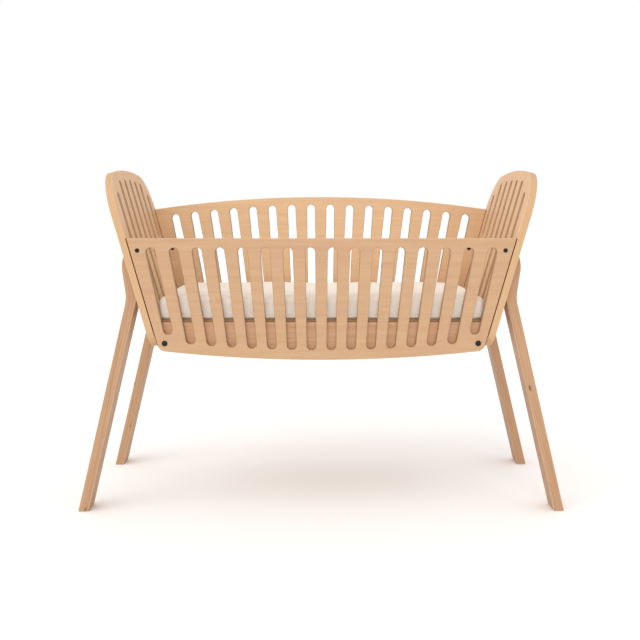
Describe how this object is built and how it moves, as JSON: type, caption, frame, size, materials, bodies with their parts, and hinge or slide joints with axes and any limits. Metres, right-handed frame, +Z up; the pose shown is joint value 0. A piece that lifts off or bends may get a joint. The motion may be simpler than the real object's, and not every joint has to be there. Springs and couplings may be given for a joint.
{
  "type": "baby crib",
  "caption": "Small slatted plywood crib: an outward-leaning basket with arched ends and a low front side, bolted to four splayed beech legs, with a fitted mattress.",
  "frame": {"origin": "on the floor, at the middle of the crib's length and depth", "axes": "+X along the crib's length, -Y towards the low front side, +Z up"},
  "size_m": [1.222, 0.4934, 0.854],
  "materials": {
    "beech_plywood": "satin clear-lacquered beech veneer",
    "solid_beech": "satin clear-lacquered solid beech",
    "bed_board_plywood": "unfinished plywood",
    "dowel_beech": "bare fluted beech",
    "mattress_foam": "open-cell foam",
    "mattress_fabric": "cream woven cotton cover",
    "black_bolt": "black oxide",
    "dark_steel": "zinc, dulled",
    "bright_steel": "zinc plated",
    "brass_insert": "plain brass"
  },
  "bodies": {
    "crib": {"end_panel_left": "beech_plywood", "end_panel_right": "beech_plywood", "side_panel_front": "beech_plywood", "side_panel_rear": "beech_plywood", "leg_front_left": "solid_beech", "leg_front_right": "solid_beech", "leg_rear_left": "solid_beech", "leg_rear_right": "solid_beech", "base_rail_front": "beech_plywood", "base_rail_rear": "beech_plywood", "end_rail_left": "solid_beech", "end_rail_right": "solid_beech", "centre_rail": "solid_beech", "cleats_front": "solid_beech", "cleats_rear": "solid_beech", "bed_board": "bed_board_plywood", "corner_bolts": "bright_steel", "corner_barrel_nuts": "dark_steel", "corner_dowels": "dowel_beech", "frame_bolts": "black_bolt", "frame_barrel_nuts": "dark_steel", "leg_bolts": "bright_steel", "leg_inserts": "brass_insert", "leg_dowels": "dowel_beech", "end_rail_screws": "bright_steel", "centre_rail_screws": "bright_steel", "cleat_screws": "bright_steel", "board_screws": "bright_steel"},
    "mattress": {"mattress_core": "mattress_foam", "mattress_cover": "mattress_fabric"}
  },
  "joints": [
    {"name": "mattress_lift", "type": "slide", "parent": "crib", "child": "mattress", "axis": [0, 0, 1], "range_m": [0, 0.38]}
  ]
}
